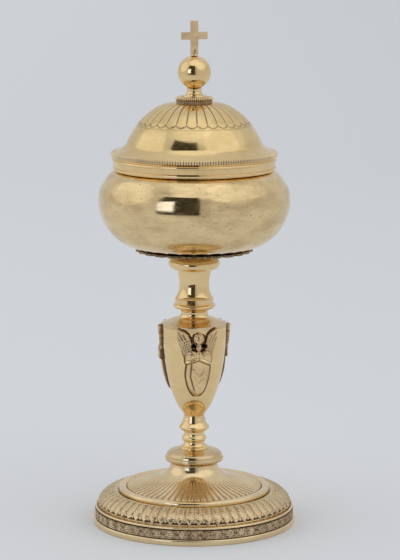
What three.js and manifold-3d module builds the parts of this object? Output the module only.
// Ciborium: a lidded cup for altar breads, on a turned stem with an urn knop and a stepped foot.
// Sizes are in millimetres. The foot stands on the plane z = 0, the axis of the cup is the z axis
// and the front of the cup faces -Y. The pieces are spun, stamped, cast or turned in silver gilt.
import * as THREE from 'three';
import { mergeVertices } from 'three/addons/utils/BufferGeometryUtils.js';
import Module from 'manifold-3d';

const wasm = await Module();
wasm.setup();

// Metal, fits and facets
const sheet = 1.2;
const seam = 0.3;
const lidPlay = 0.35;
const wideFacets = 36;
const stemFacets = 16;
const screwFacets = 12;
const skinColumns = 32;

// Foot
const footRadius = 56;
const plinthHeight = 3;
const plinthWidth = 6.5;
const plinthBevel = 0.6;
const friezeHeight = 4.7;
const friezeInset = 0.9;
const friezeLedge = 3.6;
const wireThickness = 1.4;
const leafBandHeight = 9.7;
const leafCount = 64;
const leafDepth = 0.7;
const leafSkirt = 2.4;
const leafSlope = 1.9;
const ringRadius = 39.4;
const ringThickness = 3.6;
const ringRise = 0.8;
const ringLedge = 3.6;
const rayCount = 64;
const rayDepth = 0.8;
const rayStartRadius = 17.5;
const footNeckRadius = 13.2;
const footHeight = 32.2;

// Stem
const discRadius = 15.9;
const discHeight = 8.7;
const discTopRadius = 8;
const balusterHeight = 18.4;
const balusterRadius = 5;
const balusterRingRadius = 6.55;
const balusterBeadRadius = 8.5;
const upperStemHeight = 26;
const upperStemWaist = 8;
const upperStemRingRadius = 11.9;
const upperStemBandRadius = 10.5;
const cushionRadius = 14.3;
const cushionHeight = 6.8;
const cushionNeckHeight = 4.4;
const cushionNeckRadius = 9;

// Urn knop and the figures applied to it
const urnHeight = 49.9;
const urnRadius = 17.9;
const urnBaseRadius = 5;
const urnFootThickness = 4;
const urnFacets = 20;
const urnSteps = 4;
const capHeight = 4.5;
const capRimHeight = 1.4;
const capNeckRadius = 8.9;
const capSpigot = 1.8;
const ventRadius = 1.35;
const ventSpread = 2.75;
const ventDrop = 8.4;
const figureCount = 3;
const figureTurn = 8.5;
const figureHeight = 38;
const figureEdge = 1.2;

// Bowl
const bellyRadius = 52.5;
const bowlFloorRadius = 29;
const bellyHeight = 24.7;
const bowlHeight = 42;
const lipRadius = 42.25;
const lipThickness = 1.1;
const lipRise = 6;
const lipDrop = 2.4;
const calyxRadius = 32.4;
const calyxThickness = 0.9;
const calyxLeaves = 24;
const calyxNotch = 3.2;

// Lid
const bandHeight = 7.4;
const bandWall = 1.5;
const bandBeadHeight = 2.4;
const beadWireHeight = 1.7;
const beadWireThickness = 1.1;
const brimHeight = 1.8;
const coveWidth = 7.7;
const coveHeight = 5.9;
const lidCrownRadius = 10.3;
const lidCrownHeight = 20.9;
const petalCount = 32;
const petalDepth = 0.35;
const petalEndRadius = 30.8;
const petalStartRadius = 11.5;
const petalTurn = 3;

// Finial and cross
const collarRadius = 10.2;
const collarHeight = 3.3;
const collarStepRadius = 6.8;
const collarStepHeight = 0.6;
const finialNeckRadius = 4.05;
const finialNeckHeight = 3.6;
const orbRadius = 9.05;
const socketRadius = 2.6;
const socketHeight = 1;
const crossHeight = 18.1;
const crossSpan = 14.6;
const crossBar = 3.8;
const crossThickness = 2.2;
const crossArmHeight = 9.2;
const crossTurn = 20;
const tangWidth = 1.6;
const tangLength = 3.4;
const pinRadius = 0.55;
const pinHeight = 1.9;

// Screws and nuts
const rodRadius = 3;
const studRadius = 5;
const studFlangeRadius = 6.5;
const studFlangeThickness = 1.2;
const studLength = 7;
const studHoleDepth = 5;
const tieWasherRadius = 10;
const tieNutWidth = 9;
const tieNutHeight = 3.6;
const rodTail = 3;
const finialScrewRadius = 1.6;
const finialScrewReach = 3;
const finialWasherRadius = 5;
const finialNutWidth = 6;
const finialNutHeight = 2.4;
const washerThickness = 1.2;

// Heights worked out from the table up
const friezeBase = plinthHeight + seam;
const friezeTop = friezeBase + friezeHeight;
const leafBandBase = friezeTop + seam;
const leafBandTop = leafBandBase + leafBandHeight;
const ringCentre = leafBandTop + ringRise;
const discBase = footHeight + seam;
const balusterBase = discBase + discHeight + seam;
const urnBase = balusterBase + balusterHeight + seam;
const urnTop = urnBase + urnHeight;
const capBase = urnTop + seam;
const capTop = capBase + capHeight;
const upperStemBase = capTop + seam;
const cushionBase = upperStemBase + upperStemHeight + seam;
const cushionTop = cushionBase + cushionHeight + cushionNeckHeight;
const calyxBase = cushionTop + seam;
const bowlBase = calyxBase + calyxThickness + seam;
const bowlTop = bowlBase + bowlHeight;
const bandBase = bowlTop + seam;
const bandTop = bandBase + bandHeight;
const brimBase = bandTop + seam;
const brimTop = brimBase + brimHeight;
const coveTop = brimTop + coveHeight;
const lidTop = coveTop + lidCrownHeight;
const collarBase = lidTop + seam;
const collarTop = collarBase + collarHeight + collarStepHeight;
const neckBase = collarTop + seam;
const neckTop = neckBase + finialNeckHeight;

// Radii worked out from the pieces that meet there
const friezeRadius = footRadius - friezeInset;
const wireRadius = friezeRadius - wireThickness / 2 - seam / 2;
const leafBandRadius = wireRadius - wireThickness / 2 - seam;
const leafBandInnerRadius = ringRadius + ringThickness / 2 + seam;
const rayEndRadius = ringRadius - ringThickness / 2 - seam;
const rodHole = rodRadius + seam;
const studHole = studRadius + seam;
const mouthRadius = lipRadius + lidPlay;
const bandInnerRadius = lipRadius + lidPlay;
const bandRadius = bandInnerRadius + bandWall;
const coveRadius = bandRadius - coveWidth;
const finialHole = finialScrewRadius + seam;
const tangHole = Math.hypot(tangWidth, tangWidth) / 2 + seam;
const orbCentre = neckTop + Math.sqrt(orbRadius ** 2 - finialNeckRadius ** 2) + seam;

// Colours of the metal
const gilt = { color: 0xe6c783, roughness: 0.2, metalness: 1 };
const giltWorn = { color: 0xdcc294, roughness: 0.28, metalness: 1 };
const giltChased = { color: 0xd3ac66, roughness: 0.36, metalness: 1 };
const darkGround = { color: 0x5a4d3a, roughness: 0.5, metalness: 0.9 };
const screwMetal = { color: 0xa8956a, roughness: 0.45, metalness: 1 };

// A path that starts at one point and follows stretches of two numbers for a line, four for a curve
// with one control point and six for a curve with two.
function trace(start, ...stretches) {
  const path = new THREE.Path();
  path.moveTo(...start);
  for (const stretch of stretches) {
    if (stretch.length === 2) path.lineTo(...stretch);
    if (stretch.length === 4) path.quadraticCurveTo(...stretch);
    if (stretch.length === 6) path.bezierCurveTo(...stretch);
  }
  return path;
}

// Leaves only the places of the corners, joins those that coincide and drops triangles of no area.
function weld(geometry) {
  geometry.deleteAttribute('normal');
  geometry.deleteAttribute('uv');
  const welded = mergeVertices(geometry, 1e-4);
  const kept = [];
  const index = welded.index.array;
  for (let i = 0; i < index.length; i += 3) {
    const [a, b, c] = index.slice(i, i + 3);
    if (a !== b && b !== c && c !== a) kept.push(a, b, c);
  }
  welded.setIndex(kept);
  return welded;
}

// A turned piece: an outline of radius and height, anticlockwise, turned about the axis. An outline
// that starts on the axis ends there, and any other closes on itself.
function turned(outline, facets, steps = 3) {
  const points = outline.getPoints(steps);
  if (points[0].x > 0) points.push(points[0].clone());
  const geometry = new THREE.LatheGeometry(points, facets);
  geometry.rotateX(Math.PI / 2);
  return weld(geometry);
}

// The corner of a ring at one of its columns. Every second column sinks into the metal along the
// ring's own normal, which gives a row of grooves with rounded ribs between them.
function ringCorner(ring, column, turn) {
  const angle = (column / ring.columns) * 2 * Math.PI + turn;
  const sunk = ring.groove && column % 2 === 0 ? ring.groove : 0;
  const radius = ring.radius - sunk * ring.normal.x;
  const height = ring.height - sunk * ring.normal.y;
  return [radius * Math.sin(angle), -radius * Math.cos(angle), height];
}

// Stitches two neighbouring rings into triangles. One ring's column count divides the other's.
function stitch(lower, upper, index) {
  const fine = Math.max(lower.columns, upper.columns);
  for (let i = 0; i < fine; i++) {
    const from = (ring, step) => ring.first + Math.floor(((i + step) * ring.columns) / fine) % ring.columns;
    const [a, b, c, d] = [from(lower, 0), from(lower, 1), from(upper, 1), from(upper, 0)];
    if (a !== b) index.push(a, b, c);
    if (c !== d) index.push(a, c, d);
  }
}

// A closed skin through a loop of rings round the axis, each with its own number of columns.
function ringLoft(rings, turn = 0) {
  const corners = [];
  for (const ring of rings) {
    ring.first = corners.length / 3;
    for (let column = 0; column < ring.columns; column++) corners.push(...ringCorner(ring, column, turn));
  }
  const index = [];
  rings.forEach((ring, i) => stitch(ring, rings[(i + 1) % rings.length], index));
  const geometry = new THREE.BufferGeometry();
  geometry.setAttribute('position', new THREE.Float32BufferAttribute(corners, 3));
  geometry.setIndex(index);
  return geometry;
}

// Rings along an outline. The groove and the columns of each ring are given by its radius and height.
function ringsAlong(outline, steps, columns, groove = () => 0) {
  const points = outline.getPoints(steps);
  return points.map((point, i) => {
    const before = points[Math.max(i - 1, 0)];
    const after = points[Math.min(i + 1, points.length - 1)];
    const along = after.clone().sub(before).normalize();
    const depth = groove(point.x, point.y);
    return {
      radius: point.x,
      height: point.y,
      columns: depth > 0 ? columns : skinColumns,
      groove: depth,
      normal: new THREE.Vector2(along.y, -along.x),
    };
  });
}

// The inner skin of a sheet wall, in the opposite order: rings one wall in from an outline.
function innerRings(outline, steps, wall) {
  const rings = ringsAlong(outline, steps, skinColumns).reverse();
  for (const ring of rings) {
    ring.radius -= wall * ring.normal.x;
    ring.height -= wall * ring.normal.y;
  }
  return rings;
}

// A plain ring at a radius and height.
function plainRing(radius, height) {
  return { radius, height, columns: skinColumns, groove: 0, normal: new THREE.Vector2(1, 0) };
}

function toSolid(geometry) {
  const mesh = new wasm.Mesh({
    numProp: 3,
    vertProperties: new Float32Array(geometry.getAttribute('position').array),
    triVerts: new Uint32Array(geometry.index.array),
  });
  return new wasm.Manifold(mesh);
}

function fromSolid(solid) {
  const mesh = solid.getMesh();
  const geometry = new THREE.BufferGeometry();
  geometry.setAttribute('position', new THREE.Float32BufferAttribute(mesh.vertProperties, 3));
  geometry.setIndex(Array.from(mesh.triVerts));
  return geometry;
}

// A hexagonal nut, its hole one seam wider than the screw.
function nut(width, height, screwRadius) {
  const shape = new THREE.Shape();
  const corner = width / Math.sqrt(3);
  for (let i = 0; i < 6; i++) {
    const angle = (i / 6) * 2 * Math.PI;
    const point = [corner * Math.cos(angle), corner * Math.sin(angle)];
    if (i === 0) shape.moveTo(...point);
    else shape.lineTo(...point);
  }
  const hole = new THREE.Path();
  hole.absarc(0, 0, screwRadius + seam, 0, 2 * Math.PI, true);
  shape.holes.push(hole);
  return weld(new THREE.ExtrudeGeometry(shape, { depth: height, bevelEnabled: false, curveSegments: 6 }));
}

function washer(radius, hole) {
  return turned(trace([hole, 0], [radius, 0], [radius, washerThickness], [hole, washerThickness]), stemFacets);
}

function screw(radius, length) {
  return turned(trace([0, 0], [radius, 0], [radius, length], [0, length]), screwFacets);
}

// Foot

function footPlinth() {
  const inner = footRadius - plinthWidth;
  const outline = trace(
    [inner, 0],
    [footRadius, 0],
    [footRadius, plinthHeight - plinthBevel],
    [footRadius - plinthBevel, plinthHeight],
    [inner, plinthHeight],
  );
  return turned(outline, wideFacets);
}

// An upright strip with a ledge turned in at its top, which carries the wire and the leaf band.
function footFrieze() {
  const outline = trace(
    [friezeRadius - sheet, friezeBase],
    [friezeRadius, friezeBase],
    [friezeRadius, friezeTop],
    [friezeRadius - friezeLedge, friezeTop],
    [friezeRadius - friezeLedge, friezeTop - sheet],
    [friezeRadius - sheet, friezeTop - sheet],
  );
  return turned(outline, wideFacets);
}

function footWire() {
  const geometry = new THREE.TorusGeometry(wireRadius, wireThickness / 2, 4, wideFacets);
  geometry.translate(0, 0, leafBandBase + wireThickness / 2);
  return weld(geometry);
}

// A stamped moulding: a plain skirt, then a quarter round with leaves, their tips at the skirt.
function leafBand() {
  const skirtTop = leafBandBase + leafSkirt;
  const crest = leafBandInnerRadius + leafSlope;
  const face = trace(
    [leafBandRadius - 0.35, skirtTop],
    [leafBandRadius - 0.2, skirtTop + 3.4, crest + 5.4, leafBandTop - 0.4, crest, leafBandTop],
  );
  const leafGroove = (radius, height) => {
    const up = (height - skirtTop) / (leafBandTop - skirtTop);
    return leafDepth * (1 - 0.6 * up);
  };
  const ledge = ringCentre - ringThickness / 2;
  return ringLoft([
    plainRing(leafBandRadius, leafBandBase),
    ...ringsAlong(face, 3, 2 * leafCount, leafGroove),
    plainRing(leafBandInnerRadius, ledge + 0.7),
    plainRing(leafBandInnerRadius, ledge),
    ...innerRings(face, 2, sheet),
    plainRing(leafBandRadius - sheet, leafBandBase),
  ]);
}

function footRing() {
  const geometry = new THREE.TorusGeometry(ringRadius, ringThickness / 2, 6, wideFacets);
  geometry.translate(0, 0, ringCentre);
  return weld(geometry);
}

// The trumpet of the foot. Rays run down it and end in a row of hollows against the plain ring; a
// ledge below carries that ring and the inner edge of the leaf band, and the flat top takes the rod.
function footDome() {
  const ledgeTop = ringCentre - ringThickness / 2 - seam;
  const ledgeRadius = leafBandInnerRadius + ringLedge / 2;
  const rayEnd = ringCentre + ringThickness / 4;
  const trumpet = trace(
    [rayEndRadius, rayEnd + seam],
    [rayEndRadius - 11.5, rayEnd + 2.2, footNeckRadius + 1, footHeight - 7, footNeckRadius, footHeight],
  );
  const rayGroove = (radius) => {
    const out = (radius - rayStartRadius) / (rayEndRadius - rayStartRadius);
    return out > 0 ? rayDepth * Math.sqrt(out) : 0;
  };
  const under = footHeight - sheet;
  const wall = sheet + rayDepth / 2;
  return ringLoft([
    plainRing(ledgeRadius, ledgeTop - sheet),
    plainRing(ledgeRadius, ledgeTop),
    plainRing(rayEndRadius, ledgeTop),
    ...ringsAlong(trumpet, 4, 2 * rayCount, rayGroove),
    plainRing(rodHole, footHeight),
    plainRing(rodHole, under),
    plainRing(footNeckRadius - sheet, under),
    ...innerRings(trumpet, 3, wall).slice(1),
    plainRing(rayEndRadius - wall, ledgeTop - sheet),
  ]);
}

// Stem

function stemDisc() {
  const top = discBase + discHeight;
  const outline = trace(
    [rodHole, discBase],
    [footNeckRadius, discBase],
    [footNeckRadius + 0.3, discBase + 1.6, discRadius - 0.3, discBase + 2.3],
    [discRadius + 0.2, discBase + 3.3, discRadius - 0.2, discBase + 4.1],
    [discRadius - 0.8, discBase + 4.6],
    [discRadius - 0.6, discBase + 8.3, discTopRadius + 5, discBase + 8, discTopRadius, top],
    [rodHole, top],
  );
  return turned(outline, stemFacets, 2);
}

function baluster() {
  const z = balusterBase;
  const outline = trace(
    [rodHole, z],
    [balusterRadius + 2.3, z],
    [balusterRadius + 0.5, z + 0.9, balusterRadius, z + 2.9],
    [balusterRadius, z + 4],
    [balusterRingRadius - 0.7, z + 4.4],
    [balusterRingRadius + 0.7, z + 5.8, balusterRingRadius - 0.7, z + 7.1],
    [balusterRadius, z + 8.1],
    [balusterRadius + 0.1, z + 9.8],
    [balusterBeadRadius - 1, z + 10.4],
    [balusterBeadRadius + 0.9, z + 11.9, balusterBeadRadius - 0.5, z + 13.1],
    [balusterRadius + 1.3, z + 14.7, balusterRadius, z + balusterHeight],
    [rodHole, z + balusterHeight],
  );
  return turned(outline, stemFacets, 2);
}

function upperStem() {
  const z = upperStemBase;
  const top = z + upperStemHeight;
  const outline = trace(
    [rodHole, z],
    [capNeckRadius - 0.2, z],
    [upperStemWaist - 0.6, z + 0.7, upperStemWaist - 0.5, z + 2.7],
    [upperStemWaist - 0.4, z + 4.7, upperStemBandRadius, z + 5],
    [upperStemRingRadius + 1.1, z + 6.3, upperStemBandRadius + 0.3, z + 7.8],
    [upperStemBandRadius - 0.1, z + 8.2],
    [upperStemBandRadius, z + 10.7],
    [upperStemBandRadius - 0.4, z + 11.1],
    [upperStemWaist + 0.7, z + 12.8, upperStemWaist - 0.2, top - 9, upperStemWaist + 0.4, top - 5],
    [upperStemWaist + 1.4, top],
    [rodHole, top],
  );
  return turned(outline, stemFacets, 2);
}

// A bold half-round moulding with a short neck, bored out at the top for the stud of the bowl.
function stemCushion() {
  const shoulder = cushionBase + cushionHeight;
  const borePit = cushionTop - studLength;
  const bulge = cushionRadius + 0.9;
  const outline = trace(
    [rodHole, cushionBase],
    [upperStemWaist + 2.2, cushionBase],
    [bulge - 0.3, cushionBase + 0.2, bulge + 0.7, shoulder - 1, cushionRadius - 2.9, shoulder],
    [cushionNeckRadius, shoulder + 1],
    [cushionNeckRadius, cushionTop],
    [studHole, cushionTop],
    [studHole, borePit],
    [rodHole, borePit],
  );
  return turned(outline, stemFacets, 4);
}

// Urn knop

// The side of the urn as a path that stands one offset outside the metal.
function urnSide(offset) {
  const z = urnBase;
  const side = urnRadius + offset;
  return trace(
    [urnBaseRadius + offset, z],
    [urnBaseRadius + 1 + offset, z + 2.3, urnBaseRadius + 3.2 + offset, z + 4.3],
    [side - 5.8, z + 0.21 * urnHeight, side - 0.7, z + 0.475 * urnHeight, side, z + urnHeight],
  );
}

const urnPoints = urnSide(0).getPoints(urnSteps);

// The radius of the urn at a height, read along its side.
function urnRadiusAt(height) {
  const next = urnPoints.findIndex((point) => point.y >= height);
  if (next < 0) return urnRadius;
  if (next === 0) return urnBaseRadius;
  const [below, above] = [urnPoints[next - 1], urnPoints[next]];
  const share = (height - below.y) / (above.y - below.y);
  return THREE.MathUtils.lerp(below.x, above.x, share);
}

// A rod that points out of the urn at a turn from the front and a height.
function radialRod(radius, turn, height) {
  const rod = weld(new THREE.CylinderGeometry(radius, radius, urnRadius, 8));
  rod.translate(0, -urnRadius, 0);
  rod.rotateZ(turn);
  rod.translate(0, 0, height);
  return toSolid(rod);
}

// A thin spun shell, open at the mouth, with a hole for the rod and two small vents by each figure.
function knopBody() {
  const floor = urnBase + urnFootThickness;
  const inside = urnSide(-sheet).getPoints(urnSteps - 1).filter((point) => point.y > floor);
  const points = [new THREE.Vector2(rodHole, urnBase), ...urnSide(0).getPoints(urnSteps), ...inside.reverse()];
  points.push(new THREE.Vector2(rodHole, floor), points[0].clone());
  const lathe = new THREE.LatheGeometry(points, urnFacets);
  lathe.rotateX(Math.PI / 2);
  let body = toSolid(weld(lathe));
  for (const figure of figureAngles()) {
    for (const hand of [-1, 1]) {
      const turn = figure + (hand * ventSpread) / urnRadius;
      body = body.subtract(radialRod(ventRadius, turn, urnTop - ventDrop));
    }
  }
  return fromSolid(body);
}

function knopCap() {
  const inner = urnRadius - sheet - seam;
  const top = capTop;
  const rim = capBase + capRimHeight;
  const outline = trace(
    [rodHole, top - sheet],
    [inner - sheet, rim - sheet],
    [inner - sheet, capBase - capSpigot],
    [inner, capBase - capSpigot],
    [inner, capBase],
    [urnRadius, capBase],
    [urnRadius + 0.1, rim - 0.2, urnRadius - 0.6, rim],
    [capNeckRadius, top],
    [rodHole, top],
  );
  return turned(outline, urnFacets, 2);
}

// Figures on the urn

function figureAngles() {
  const angles = [];
  for (let i = 0; i < figureCount; i++) {
    angles.push(THREE.MathUtils.degToRad(figureTurn + (360 / figureCount) * i));
  }
  return angles;
}

// A raised patch of a figure. Its rows run upward, and each has a drop below the mouth of the urn, a
// left and a right edge measured round the urn, and a swell, all in hundredths of the figure's
// height. Its back lies inside the urn's wall.
function patch(rows, columns) {
  const sized = rows.map((row) => row.map((value) => (value * figureHeight) / 100));
  const corners = [];
  const place = (across, drop, out) => {
    const height = urnTop - drop;
    const radius = urnRadiusAt(height);
    const angle = across / radius;
    const reach = radius + out;
    corners.push(reach * Math.sin(angle), -reach * Math.cos(angle), height);
  };
  for (const [drop, left, right, swell] of sized) {
    for (let i = 0; i <= columns; i++) {
      const share = i / columns;
      const out = figureEdge + seam + swell * Math.sin(Math.PI * share);
      place(THREE.MathUtils.lerp(left, right, share), drop, out);
    }
    place(right, drop, -sheet);
    place(left, drop, -sheet);
  }
  const width = columns + 3;
  const index = [];
  for (let row = 0; row + 1 < rows.length; row++) {
    for (let i = 0; i < width; i++) {
      const a = row * width + i;
      const b = row * width + ((i + 1) % width);
      index.push(a, b, b + width, a, b + width, a + width);
    }
  }
  const last = (rows.length - 1) * width;
  for (let i = 1; i + 1 < width; i++) {
    index.push(0, i + 1, i);
    index.push(last, last + i, last + i + 1);
  }
  const geometry = new THREE.BufferGeometry();
  geometry.setAttribute('position', new THREE.Float32BufferAttribute(corners, 3));
  geometry.setIndex(index);
  return toSolid(geometry);
}

function mirrored(rows) {
  return rows.map(([drop, left, right, swell]) => [drop, -right, -left, swell]);
}

// Rows of an oval patch about a centre.
function ovalRows(centreDrop, halfWidth, halfHeight, swell, count) {
  const rows = [];
  for (let i = 0; i < count; i++) {
    const angle = Math.PI * ((i + 0.5) / count - 0.5);
    const half = halfWidth * Math.cos(angle);
    rows.push([centreDrop - halfHeight * Math.sin(angle), -half, half, swell * Math.cos(angle)]);
  }
  return rows;
}

// A winged figure in low relief: head, neck, raised wings, sleeves, joined hands and a long robe
// that narrows to the feet. The urn's own side, one seam larger, cuts its back to fit.
function figure(turn) {
  const wing = [
    [32, -30.5, -21.5, 1],
    [27.5, -31.5, -12.5, 1.5],
    [20, -32, -11, 1.5],
    [12, -32.5, -13.5, 1.5],
    [6.5, -32.5, -19, 1.5],
    [1, -32.5, -25, 1],
    [-2.5, -32.5, -30, 0.5],
  ];
  const sleeve = [
    [50, -17.5, -9.5, 1],
    [44, -20, -0.5, 3],
    [35, -19, 0.5, 3.5],
    [27.5, -15, 0.5, 2],
  ];
  const robe = [
    [97.5, -5.5, 5.5, 1],
    [89, -10, 10, 2],
    [79.5, -13.5, 13.5, 2.5],
    [69, -16, 16, 3],
    [51, -15, 15, 2.5],
    [39.5, -13, 13, 2],
  ];
  const hands = [
    [44, -3, 3, 4],
    [36, -3.5, 3.5, 5.5],
    [29, -1.5, 1.5, 3],
  ];
  const neck = [
    [29, -4, 4, 2],
    [16, -3.5, 3.5, 2.5],
  ];
  const head = ovalRows(11.5, 7, 7.5, 4.5, 5);
  let solid = patch(robe, 2);
  for (const rows of [wing, mirrored(wing), sleeve, mirrored(sleeve)]) solid = solid.add(patch(rows, 2));
  solid = solid.add(patch(hands, 2)).add(patch(neck, 2)).add(patch(head, 2));
  const side = urnSide(seam).getPoints(urnSteps);
  const core = [new THREE.Vector2(0, urnBase), ...side];
  core.push(new THREE.Vector2(urnRadius + seam, capTop), new THREE.Vector2(0, capTop));
  const lathe = new THREE.LatheGeometry(core, urnFacets);
  lathe.rotateX(Math.PI / 2);
  lathe.rotateZ(-turn);
  solid = solid.subtract(toSolid(weld(lathe)));
  const geometry = fromSolid(solid);
  geometry.rotateZ(turn);
  return geometry;
}

// Bowl

// A flat leaf rosette between the stem and the bowl; only the tips of its leaves are seen.
function calyx() {
  const shape = new THREE.Shape();
  const corners = 4 * calyxLeaves;
  for (let i = 0; i < corners; i++) {
    const angle = (i / corners) * 2 * Math.PI;
    const notch = [1, 0.25, 0, 0.25][i % 4];
    const radius = calyxRadius - notch * calyxNotch;
    const point = [radius * Math.sin(angle), -radius * Math.cos(angle)];
    if (i === 0) shape.moveTo(...point);
    else shape.lineTo(...point);
  }
  const hole = new THREE.Path();
  hole.absarc(0, 0, studFlangeRadius + seam, 0, 2 * Math.PI, true);
  shape.holes.push(hole);
  const geometry = new THREE.ExtrudeGeometry(shape, { depth: calyxThickness, bevelEnabled: false, curveSegments: 8 });
  geometry.translate(0, 0, calyxBase);
  return weld(geometry);
}

// One skin of the bowl from its floor to its mouth, an inset inside the outer skin.
function bowlSkin(inset) {
  const belly = bellyRadius - inset;
  const widest = bowlBase + bellyHeight;
  const foot = bowlBase + inset;
  const top = bowlTop - inset;
  return trace(
    [0, foot],
    [bowlFloorRadius, foot],
    [bowlFloorRadius + 16, foot, belly, widest - 8, belly, widest],
    [belly, widest + 11, mouthRadius + 4 - inset / 2, top - 4, mouthRadius, top],
  );
}

function bowl() {
  const points = [...bowlSkin(0).getPoints(5), ...bowlSkin(sheet).getPoints(3).reverse()];
  const lathe = new THREE.LatheGeometry(points, wideFacets);
  lathe.rotateX(Math.PI / 2);
  return weld(lathe);
}

// An upright neck inside the mouth of the bowl. The band of the lid slides over it.
function bowlLip() {
  const inner = lipRadius - lipThickness;
  const top = bowlTop + lipRise;
  const outline = trace(
    [inner, bowlTop - lipDrop],
    [lipRadius, bowlTop - lipDrop],
    [lipRadius, top - lipThickness / 2],
    [lipRadius - lipThickness / 2, top],
    [inner, top],
  );
  return turned(outline, wideFacets);
}

// A stud under the bowl: its flange is soldered to the floor and its threaded hole takes the rod.
function bowlStud() {
  const top = bowlBase - seam;
  const bottom = top - studLength;
  const flange = top - studFlangeThickness;
  const outline = trace(
    [0, bottom + studHoleDepth],
    [rodHole, bottom + studHoleDepth],
    [rodHole, bottom],
    [studRadius, bottom],
    [studRadius, flange],
    [studFlangeRadius, flange],
    [studFlangeRadius, top],
    [0, top],
  );
  return turned(outline, 16);
}

// Lid

// A moulded band: a half-round bead at the foot, a fillet and a hollow that spreads to the brim.
function lidBand() {
  const bead = bandBase + bandBeadHeight;
  const outline = trace(
    [bandInnerRadius, bandBase],
    [bandRadius - 0.2, bandBase],
    [bandRadius + 0.9, bandBase + bandBeadHeight / 2, bandRadius - 0.3, bead],
    [bandRadius, bead + 0.5],
    [bandRadius, bead + 1.1],
    [bandRadius - 0.5, bandTop - 1.4, bandRadius + 0.8, bandTop],
    [bandInnerRadius, bandTop],
  );
  return turned(outline, wideFacets, 2);
}

function beadWire() {
  const shape = new THREE.Path();
  const radius = bandRadius + seam + beadWireThickness / 2;
  const height = brimBase + beadWireHeight / 2;
  shape.absellipse(radius, height, beadWireThickness / 2, beadWireHeight / 2, 0, 2 * Math.PI, false);
  const points = shape.getPoints(2);
  points[points.length - 1] = points[0].clone();
  const lathe = new THREE.LatheGeometry(points, wideFacets);
  lathe.rotateX(Math.PI / 2);
  return weld(lathe);
}

// The raised lid: a brim, a hollow cove and a dome chased with petals, with a flat crown for the
// finial. The petals end in a row below which the metal is plain.
function lidDome() {
  const face = trace(
    [bandRadius, brimTop],
    [coveRadius + 1.6, brimTop + 1.4, coveRadius, coveTop],
    [coveRadius - 5, coveTop + 9, lidCrownRadius + 15, lidTop, lidCrownRadius, lidTop],
  );
  const petalGroove = (radius) => (radius < petalEndRadius && radius > petalStartRadius ? petalDepth : 0);
  return ringLoft(
    [
      plainRing(bandRadius, brimBase),
      ...ringsAlong(face, 5, 2 * petalCount, petalGroove),
      plainRing(finialHole, lidTop),
      plainRing(finialHole, lidTop - sheet),
      ...innerRings(face, 3, sheet).slice(0, -1),
      plainRing(bandRadius - sheet, brimBase + 0.4),
      plainRing(bandRadius - sheet, brimBase),
    ],
    THREE.MathUtils.degToRad(petalTurn),
  );
}

// Finial

function finialCollar() {
  const step = collarBase + collarHeight;
  const middle = collarBase + collarHeight / 2;
  const outline = trace(
    [finialHole, collarBase],
    [collarRadius - 0.3, collarBase],
    [collarRadius - 0.3, middle - 0.1],
    [collarRadius, middle + 0.1],
    [collarRadius, step - 0.3],
    [collarRadius - 0.5, step],
    [collarStepRadius, step],
    [collarStepRadius, collarTop],
    [finialHole, collarTop],
  );
  return turned(outline, stemFacets);
}

// The top of the neck is dished to take the orb.
function finialNeck() {
  const dish = neckTop - 0.8;
  const outline = trace(
    [finialHole, neckBase],
    [finialNeckRadius + 0.9, neckBase],
    [finialNeckRadius - 0.2, neckBase + 1.1, finialNeckRadius, neckTop - 1.2],
    [finialNeckRadius + 0.1, neckTop],
    [finialHole, dish],
  );
  return turned(outline, 16);
}

// A hollow ball, open at the foot for the screw and at the top for the tang of the cross.
function orb() {
  const inner = orbRadius - sheet;
  const arc = (radius, foot, top) => {
    const path = new THREE.Path();
    const from = -Math.acos(foot / radius);
    const to = Math.acos(top / radius);
    path.absarc(0, orbCentre, radius, from, to, false);
    return path.getPoints(radius === inner ? 2 : 4);
  };
  const points = [...arc(orbRadius, finialHole, tangHole), ...arc(inner, finialHole, tangHole).reverse()];
  points.push(points[0].clone());
  const lathe = new THREE.LatheGeometry(points, stemFacets);
  lathe.rotateX(Math.PI / 2);
  return weld(lathe);
}

const socketBase = orbCentre + orbRadius + seam;
const crossBase = socketBase + socketHeight + seam;

function crossSocket() {
  const top = socketBase + socketHeight;
  const outline = trace(
    [tangHole, socketBase],
    [socketRadius, socketBase],
    [socketRadius - 0.2, socketBase + socketHeight / 2, socketRadius - 0.7, top],
    [tangHole, top],
  );
  return turned(outline, 16, 2);
}

// Stands a flat plate up on its edge, its middle on the axis, turned as the cross is.
function standUp(geometry, depth) {
  geometry.rotateX(Math.PI / 2);
  geometry.translate(0, depth / 2, crossBase);
  geometry.rotateZ(THREE.MathUtils.degToRad(crossTurn));
  return weld(geometry);
}

function cross() {
  const half = crossBar / 2;
  const arm = crossSpan / 2;
  const tang = tangWidth / 2;
  const low = crossArmHeight - half;
  const high = crossArmHeight + half;
  const shape = new THREE.Shape();
  shape.moveTo(tang, -tangLength);
  shape.lineTo(tang, 0);
  for (const [x, y] of [[half, 0], [half, low], [arm, low], [arm, high], [half, high], [half, crossHeight]]) {
    shape.lineTo(x, y);
  }
  for (const [x, y] of [[half, crossHeight], [half, high], [arm, high], [arm, low], [half, low], [half, 0]]) {
    shape.lineTo(-x, y);
  }
  shape.lineTo(-tang, 0);
  shape.lineTo(-tang, -tangLength);
  shape.closePath();
  const hole = new THREE.Path();
  hole.absarc(0, pinHeight, pinRadius + seam, 0, 2 * Math.PI, true);
  shape.holes.push(hole);
  const plate = new THREE.ExtrudeGeometry(shape, { depth: crossThickness, bevelEnabled: false, curveSegments: 4 });
  return standUp(plate, crossThickness);
}

function crossPin() {
  const length = crossThickness + 2 * seam;
  const pin = new THREE.CylinderGeometry(pinRadius, pinRadius, length, screwFacets);
  pin.rotateX(Math.PI / 2);
  pin.translate(0, pinHeight, length / 2);
  return standUp(pin, length);
}

// Screws and nuts

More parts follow.
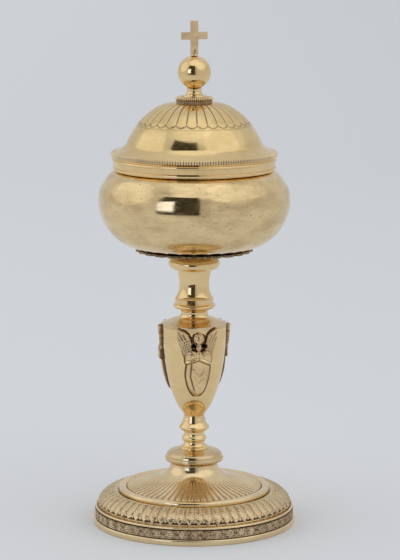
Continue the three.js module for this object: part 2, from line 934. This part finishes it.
const tieWasherBase = footHeight - sheet - seam - washerThickness;
const tieNutBase = tieWasherBase - seam - tieNutHeight;
const rodBase = tieNutBase - rodTail;
const rodTop = bowlBase - studLength + studHoleDepth - 2 * seam;
const finialWasherBase = lidTop - sheet - seam - washerThickness;
const finialNutBase = finialWasherBase - seam - finialNutHeight;
const finialScrewBase = finialNutBase - finialScrewReach / 2;
const finialScrewTop = neckTop + finialScrewReach;

function raised(geometry, height) {
  geometry.translate(0, 0, height);
  return geometry;
}

// The assembly, from the table up

const ciborium = new THREE.Group();

function add(name, geometry, finish) {
  const mesh = new THREE.Mesh(geometry, new THREE.MeshStandardMaterial(finish));
  mesh.name = name;
  ciborium.add(mesh);
}

add('foot_plinth', footPlinth(), gilt);
add('foot_frieze', footFrieze(), darkGround);
add('foot_wire', footWire(), gilt);
add('leaf_band', leafBand(), giltChased);
add('foot_ring', footRing(), gilt);
add('foot_dome', footDome(), giltChased);
add('stem_disc', stemDisc(), gilt);
add('baluster', baluster(), gilt);
add('knop_body', knopBody(), gilt);
add('knop_cap', knopCap(), gilt);
figureAngles().forEach((turn, i) => add(['angel_front', 'angel_right', 'angel_left'][i], figure(turn), giltChased));
add('upper_stem', upperStem(), gilt);
add('stem_cushion', stemCushion(), gilt);
add('calyx', calyx(), giltChased);
add('bowl_stud', bowlStud(), screwMetal);
add('bowl', bowl(), giltWorn);
add('bowl_lip', bowlLip(), gilt);
add('tie_rod', raised(screw(rodRadius, rodTop - rodBase), rodBase), screwMetal);
add('tie_washer', raised(washer(tieWasherRadius, rodHole), tieWasherBase), screwMetal);
add('tie_nut', raised(nut(tieNutWidth, tieNutHeight, rodRadius), tieNutBase), screwMetal);
add('lid_band', lidBand(), gilt);
add('bead_wire', beadWire(), gilt);
add('lid_dome', lidDome(), giltWorn);
add('finial_collar', finialCollar(), giltChased);
add('finial_neck', finialNeck(), gilt);
add('orb', orb(), gilt);
add('cross_socket', crossSocket(), gilt);
add('cross', cross(), gilt);
add('cross_pin', crossPin(), screwMetal);
const finialScrew = screw(finialScrewRadius, finialScrewTop - finialScrewBase);
add('finial_screw', raised(finialScrew, finialScrewBase), screwMetal);
add('finial_washer', raised(washer(finialWasherRadius, finialHole), finialWasherBase), screwMetal);
add('finial_nut', raised(nut(finialNutWidth, finialNutHeight, finialScrewRadius), finialNutBase), screwMetal);

export default ciborium;
